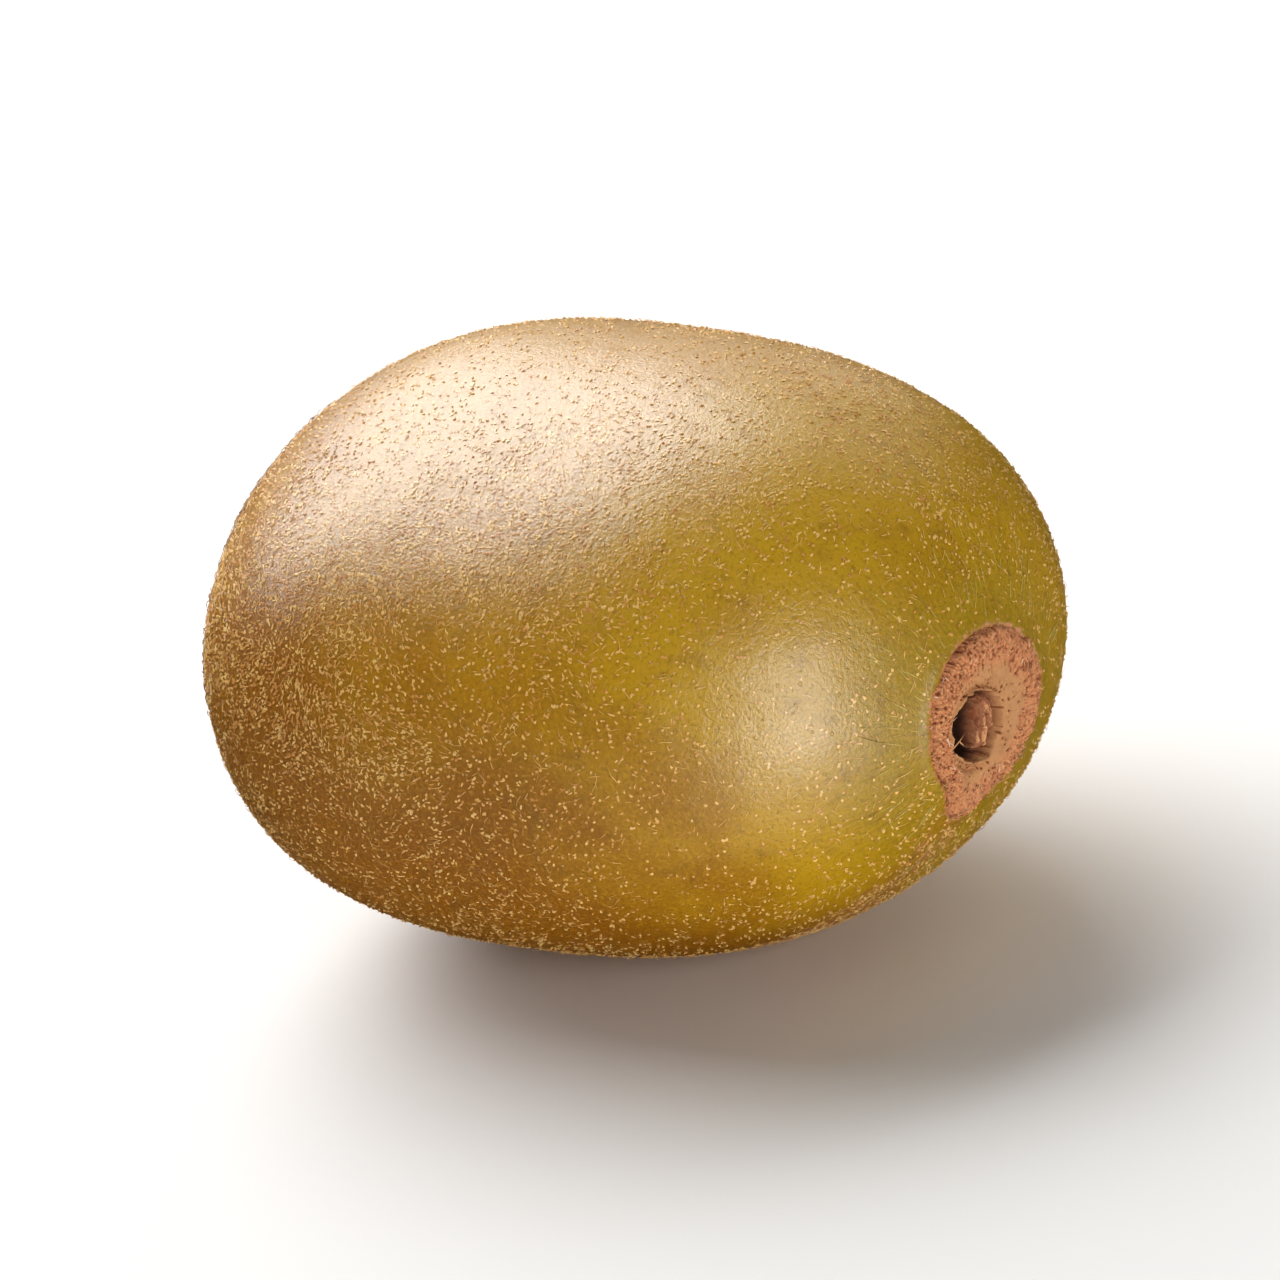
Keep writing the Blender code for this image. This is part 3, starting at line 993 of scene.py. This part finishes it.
def lay_frames(facing, along):
    """For each hair, the directions along it, beside it and off the skin, as rows."""
    along = along - facing * (along * facing).sum(axis=1, keepdims=True)
    along /= np.linalg.norm(along, axis=1, keepdims=True)
    return np.stack([along, np.cross(facing, along), facing], axis=1)


def comb(places, facing, dice, order):
    """Frames for hairs that lie in swirls: the more order, the closer each is to its neighbours."""
    noise.seed_set(SWIRL_SEED)
    swirl = np.array([noise.noise_vector(Vector(place)) for place in places / SWIRL_SIZE])
    along = swirl * order + AXES[:, 0] * STEM_LEAN + dice.normal(size=places.shape) * HAIR_STRAY
    return lay_frames(facing, along)


def grow(name, shapes, places, frames, lengths, widths, dice):
    """Copy the modelled hairs to their places, in one piece that is shaded with the skin under it."""
    kinds = dice.integers(len(shapes), size=len(places))
    mirrored = dice.choice((-1.0, 1.0), size=len(places))
    all_points, all_normals, all_faces, start = [], [], [], 0
    for kind, (shape, faces) in enumerate(shapes):
        mine = np.flatnonzero(kinds == kind)
        for sign in (-1.0, 1.0):
            chosen = mine[mirrored[mine] == sign]
            scale = np.stack([lengths[chosen], widths[chosen] * sign, widths[chosen] * FLATNESS], axis=1)
            local = shape[None, :, :] * scale[:, None, :]
            points = places[chosen][:, None, :] + np.einsum("hpi,hij->hpj", local, frames[chosen])
            order = faces if sign > 0.0 else faces[:, ::-1]
            offsets = start + len(shape) * np.arange(len(chosen))
            all_points.append(points.reshape(-1, 3))
            all_normals.append(np.repeat(frames[chosen][:, 2], len(shape), axis=0))
            all_faces.append((order[None, :, :] + offsets[:, None, None]).reshape(-1, 3))
            start += len(shape) * len(chosen)
    points = np.clip(np.concatenate(all_points), np.array(BOX_LOW), np.array(BOX_HIGH))
    mesh = bpy.data.meshes.new(name)
    mesh.from_pydata(points, [], np.concatenate(all_faces))
    mesh.shade_smooth()
    own = np.empty(len(points) * 3, np.float32)
    mesh.vertex_normals.foreach_get("vector", own)
    shaded = np.concatenate(all_normals) + own.reshape(-1, 3) * HAIR_ROUNDNESS
    mesh.normals_split_custom_set_from_vertices(shaded / np.linalg.norm(shaded, axis=1, keepdims=True))
    piece = bpy.data.objects.new(name, mesh)
    bpy.context.scene.collection.objects.link(piece)
    return piece


def lay_down(piece, skin):
    """Bring long straight hairs down to the curve of the skin, each point as high as it was modelled."""
    tree = BVHTree.FromObject(skin, bpy.context.evaluated_depsgraph_get())
    points = points_of(piece)
    sunk = np.empty_like(points)
    for index, point in enumerate(points):
        nearest, normal = tree.find_nearest(Vector(point))[:2]
        above = max((Vector(point) - nearest).dot(normal), -HAIR_LIFT)
        sunk[index] = nearest + normal * (min(above, HAIR_LIFT) + HAIR_LIFT)
    move_points(piece, sunk)


class KIWI_OT_skin_hairs(bpy.types.Operator):
    """Scatter the short hairs over the skin: round stubs, curled hairs and thin longer ones"""

    bl_idname = "kiwi.skin_hairs"
    bl_label = "Skin hairs"

    def execute(self, context):
        hair = context.scene.kiwi.hair
        skin = bpy.data.objects["fruit_skin"]
        points = points_of(skin)
        density = fuzz_density(points) + TAIL_FUZZ_SHARE * tail_fuzz(points)
        density *= scar_place(points)[2] > CLEAR_OF_SCAR
        material = hair_material("kiwi_hair_short", hair.stub, hair.stub_dark)
        stubs = model_hairs(STUB_SHAPES, steps=2, taper=0.9)
        curled = model_hairs(CURL_SHAPES, steps=2, taper=0.85)
        thin = model_hairs(THIN_SHAPES, steps=2, taper=0.75)
        self.scatter_kind("round_stubs", skin, stubs, density**STUB_POWER, hair.stub_count, material)
        self.scatter_kind("curled_hairs", skin, curled, density**CURL_POWER, hair.curl_count, material)
        self.scatter_kind("thin_hairs", skin, thin, density + THIN_EXTRA, hair.fine_count, material)
        return {"FINISHED"}

    def scatter_kind(self, name, skin, shapes, density, count, material):
        dice = np.random.default_rng(SEEDS[name])
        places, facing = scatter(skin, density, count, dice)
        lengths, widths = vary(dice, count, SHORT_SPREAD)
        frames = comb(places, facing, dice, order=1.6)
        piece = grow(name, shapes, places, frames, lengths, widths, dice)
        dress(piece, material)


class KIWI_OT_blossom_hairs(bpy.types.Operator):
    """Grow the dense tangle of curly hairs round the blossom end"""

    bl_idname = "kiwi.blossom_hairs"
    bl_label = "Blossom hairs"

    def execute(self, context):
        hair = context.scene.kiwi.hair
        skin = bpy.data.objects["fruit_skin"]
        dice = np.random.default_rng(SEEDS["blossom_hairs"])
        from_nub = gap_to(points_of(skin), NUB_MIDDLE)
        density = smooth_step(*TANGLE_OUTER, from_nub) * smooth_step(*TANGLE_INNER, from_nub)
        density *= 0.4 + smooth_step(-0.5, 0.6, clouds(points_of(skin), TUFT_SIZE, seed=5.0))
        shapes = model_hairs(TANGLE_SHAPES, steps=3, taper=0.85)
        places, facing = scatter(skin, density, hair.tangle_count, dice)
        frames = comb(places, facing, dice, order=0.8)
        lengths, widths = vary(dice, hair.tangle_count, TANGLE_SPREAD)
        piece = grow("blossom_hairs", shapes, places, frames, lengths, widths, dice)
        dress(piece, hair_material("kiwi_hair_curly", hair.tangle, hair.tangle_dark))
        return {"FINISHED"}


class KIWI_OT_stem_hairs(bpy.types.Operator):
    """Lay the long pale hairs that point away from the stem scar, and strands past its tail"""

    bl_idname = "kiwi.stem_hairs"
    bl_label = "Stem hairs"

    def execute(self, context):
        hair = context.scene.kiwi.hair
        skin = bpy.data.objects["fruit_skin"]
        share = scar_place(points_of(skin))[2]
        round_scar = smooth_step(*RAY_INNER, share) * smooth_step(*RAY_OUTER, share)
        pale = hair_material("kiwi_hair_pale", hair.ray, hair.ray_dark)
        self.lay_long("stem_hairs", skin, round_scar, hair.ray_count, pale)
        past_tail = tail_fuzz(points_of(skin)) * (share > 0.99)
        cork = hair_material("kiwi_strand", hair.fibre, hair.fibre_dark)
        way = (TAIL_END - TAIL_TIP) / np.linalg.norm(TAIL_END - TAIL_TIP)
        self.lay_long("tail_strands", skin, past_tail, hair.streak_count, cork, way)
        return {"FINISHED"}

    def lay_long(self, name, skin, density, count, material, way=None):
        """Lay long hairs along the skin, away from the scar or all one way."""
        dice = np.random.default_rng(SEEDS[name])
        shapes = model_hairs(LONG_SHAPES, steps=6, taper=0.86)
        places, facing = scatter(skin, density, count, dice)
        if way is None:
            along = places - np.array(SCAR_MIDDLE) + dice.normal(size=places.shape) * RAY_STRAY
        else:
            along = way + dice.normal(size=places.shape) * STRAND_STRAY
        lengths, widths = vary(dice, count, LONG_SPREAD)
        piece = grow(name, shapes, places, lay_frames(facing, along), lengths, widths, dice)
        lay_down(piece, skin)
        dress(piece, material)


class KIWI_OT_scar_fibres(bpy.types.Operator):
    """Strew slivers of cork over the scar's rim, along its tail and across the crater"""

    bl_idname = "kiwi.scar_fibres"
    bl_label = "Scar fibres"

    def execute(self, context):
        hair = context.scene.kiwi.hair
        cork = bpy.data.objects["stem_scar"]
        dice = np.random.default_rng(SEEDS["scar_fibres"])
        points = points_of(cork)
        share = scar_place(points)[2]
        outward = (points - np.array(SCAR_MIDDLE)) @ AXES[:, 0]
        density = smooth_step(*SLIVER_INNER, share) * smooth_step(*SLIVER_OUTER, share)
        places, facing = scatter(cork, density * (outward > CRATER_MOUTH), hair.fibre_count, dice)
        in_tail = smooth_step(*TAIL_START, scar_place(places)[1])[:, None]
        along = dice.normal(size=places.shape)
        along += (AXES[:, 1] * TAIL_WAY[0] + AXES[:, 2] * TAIL_WAY[1]) * TAIL_ORDER * in_tail
        frames = lay_frames(facing, along)
        lengths, widths = vary(dice, hair.fibre_count, SLIVER_SPREAD)
        lengths = lengths * (1.0 + in_tail[:, 0])
        for offset, way, length in STRANDS:
            places = np.vstack([places, np.array(SCAR_MIDDLE) + AXES @ offset])
            strand = lay_frames(AXES[:, :1].T, np.array([AXES @ way]))
            frames = np.concatenate([frames, strand])
            lengths, widths = np.append(lengths, length), np.append(widths, STRAND_WIDTH)
        shapes = model_hairs(SLIVER_SHAPES, steps=2, taper=0.85)
        piece = grow("scar_fibres", shapes, places, frames, lengths, widths, dice)
        dress(piece, hair_material("kiwi_fibre", hair.fibre, hair.fibre_dark))
        return {"FINISHED"}


class KIWI_OT_nub_threads(bpy.types.Operator):
    """Stand the dried threads in the blossom nub"""

    bl_idname = "kiwi.nub_threads"
    bl_label = "Nub threads"

    def execute(self, context):
        nub = context.scene.kiwi.nub
        crown = bpy.data.objects["blossom_nub"]
        dice = np.random.default_rng(SEEDS["nub_threads"])
        outward, reach = nub_place(points_of(crown), nub)
        density = smooth_step(0.75, 0.35, reach) * (outward < NUB_BASE)
        places, facing = scatter(crown, density, nub.thread_count, dice)
        along = places - np.array(NUB_MIDDLE) + dice.normal(size=places.shape) * THREAD_STRAY
        shape = model_hair(THREAD_PATH, THREAD_WIDTH, taper=0.85)
        lengths, widths = vary(dice, nub.thread_count, THREAD_SPREAD)
        piece = grow("nub_threads", [shape], places, lay_frames(facing, along), lengths, widths, dice)
        dress(piece, hair_material("kiwi_thread", nub.ash, nub.crown))
        return {"FINISHED"}


class KIWI_OT_stage(bpy.types.Operator):
    """Set the pale floor, the soft lights, the even sky and the camera"""

    bl_idname = "kiwi.stage"
    bl_label = "Stage"

    def execute(self, context):
        stage = context.scene.kiwi.stage
        middle = Vector((0.0, 0.0, AXIS_HEIGHT))
        start_clean()
        bpy.ops.mesh.primitive_plane_add(size=stage.floor_size)
        floor = bpy.context.object
        floor.name = "floor"
        floor.data.materials.append(floor_material(stage))
        floor.visible_glossy = False
        for name, (bearing, size, power) in LAMPS.items():
            lamp = self.add_lamp(name, middle, bearing, size, getattr(stage, power))
            if lamp.location.z < 0.0:
                self.spare_floor(lamp, floor)
        self.add_sky(context.scene, stage.sky_strength)
        self.add_camera(context.scene, stage, middle)
        context.scene.view_settings.view_transform = "Standard"
        return {"FINISHED"}

    def direction(self, azimuth, elevation):
        """The way from the fruit: azimuth 0 is towards -Y and a quarter turn is towards +X."""
        flat = math.cos(elevation)
        return Vector((math.sin(azimuth) * flat, -math.cos(azimuth) * flat, math.sin(elevation)))

    def add_lamp(self, name, middle, bearing, size, power):
        """A soft lamp that faces the fruit from a bearing: azimuth and elevation in degrees."""
        light = bpy.data.lights.new(name, "AREA")
        light.shape = "RECTANGLE"
        light.size, light.size_y = size
        light.energy = power
        lamp = bpy.data.objects.new(name, light)
        away = self.direction(*map(math.radians, bearing))
        lamp.location = middle + away * LAMP_DISTANCE
        lamp.rotation_euler = away.to_track_quat("Z", "Y").to_euler()
        lamp.visible_camera = False
        bpy.context.scene.collection.objects.link(lamp)
        return lamp

    def spare_floor(self, lamp, floor):
        """Let a lamp below the floor shine through it: on the fruit, but not on the floor."""
        spared = bpy.data.collections.new(lamp.name)
        spared.objects.link(floor)
        spared.collection_objects[0].light_linking.link_state = "EXCLUDE"
        lamp.light_linking.receiver_collection = spared
        lamp.light_linking.blocker_collection = spared

    def add_sky(self, scene, strength):
        world = bpy.data.worlds.new("studio_sky")
        scene.world = world
        world.use_nodes = True
        background = world.node_tree.nodes["Background"]
        background.inputs["Color"].default_value = (1.0, 1.0, 1.0, 1.0)
        background.inputs["Strength"].default_value = strength
        world.cycles_visibility.glossy = False

    def add_camera(self, scene, stage, middle):
        back = self.direction(stage.azimuth, stage.elevation)
        right = Vector((math.cos(stage.azimuth), math.sin(stage.azimuth), 0.0))
        up = back.cross(right)
        turn = Matrix((right, up, back)).transposed() @ Matrix.Rotation(stage.roll, 3, "Z")
        view = bpy.data.cameras.new("camera")
        view.lens = view.sensor_width * stage.distance / stage.view_width
        camera = bpy.data.objects.new("camera", view)
        camera.matrix_world = Matrix.LocRotScale(middle + back * stage.distance, turn.to_quaternion(), None)
        scene.collection.objects.link(camera)
        scene.camera = camera


class KIWI_PT_pieces(bpy.types.Panel):
    """Lists the pieces of the fruit and the stage"""

    bl_idname = "KIWI_PT_pieces"
    bl_label = "Kiwi Fruit"
    bl_space_type = "VIEW_3D"
    bl_region_type = "UI"
    bl_category = "Kiwi Fruit"

    def draw(self, context):
        for operator in OPERATORS:
            self.layout.operator(operator.bl_idname)


SETTINGS = (
    KiwiStageSettings, KiwiSkinSettings, KiwiScarSettings, KiwiHairSettings, KiwiNubSettings, KiwiSettings
)
OPERATORS = (
    KIWI_OT_stage, KIWI_OT_fruit_skin, KIWI_OT_stem_scar, KIWI_OT_blossom_nub, KIWI_OT_skin_hairs,
    KIWI_OT_blossom_hairs, KIWI_OT_stem_hairs, KIWI_OT_scar_fibres, KIWI_OT_nub_threads
)


def register():
    for item in (*SETTINGS, *OPERATORS, KIWI_PT_pieces):
        bpy.utils.register_class(item)
    bpy.types.Scene.kiwi = PointerProperty(type=KiwiSettings)


def unregister():
    del bpy.types.Scene.kiwi
    for item in reversed((*SETTINGS, *OPERATORS, KIWI_PT_pieces)):
        bpy.utils.unregister_class(item)


def main():
    register()
    bpy.ops.kiwi.stage()
    bpy.ops.kiwi.fruit_skin()
    bpy.ops.kiwi.stem_scar()
    bpy.ops.kiwi.blossom_nub()
    bpy.ops.kiwi.skin_hairs()
    bpy.ops.kiwi.blossom_hairs()
    bpy.ops.kiwi.stem_hairs()
    bpy.ops.kiwi.scar_fibres()
    bpy.ops.kiwi.nub_threads()


if __name__ == "__main__":
    main()
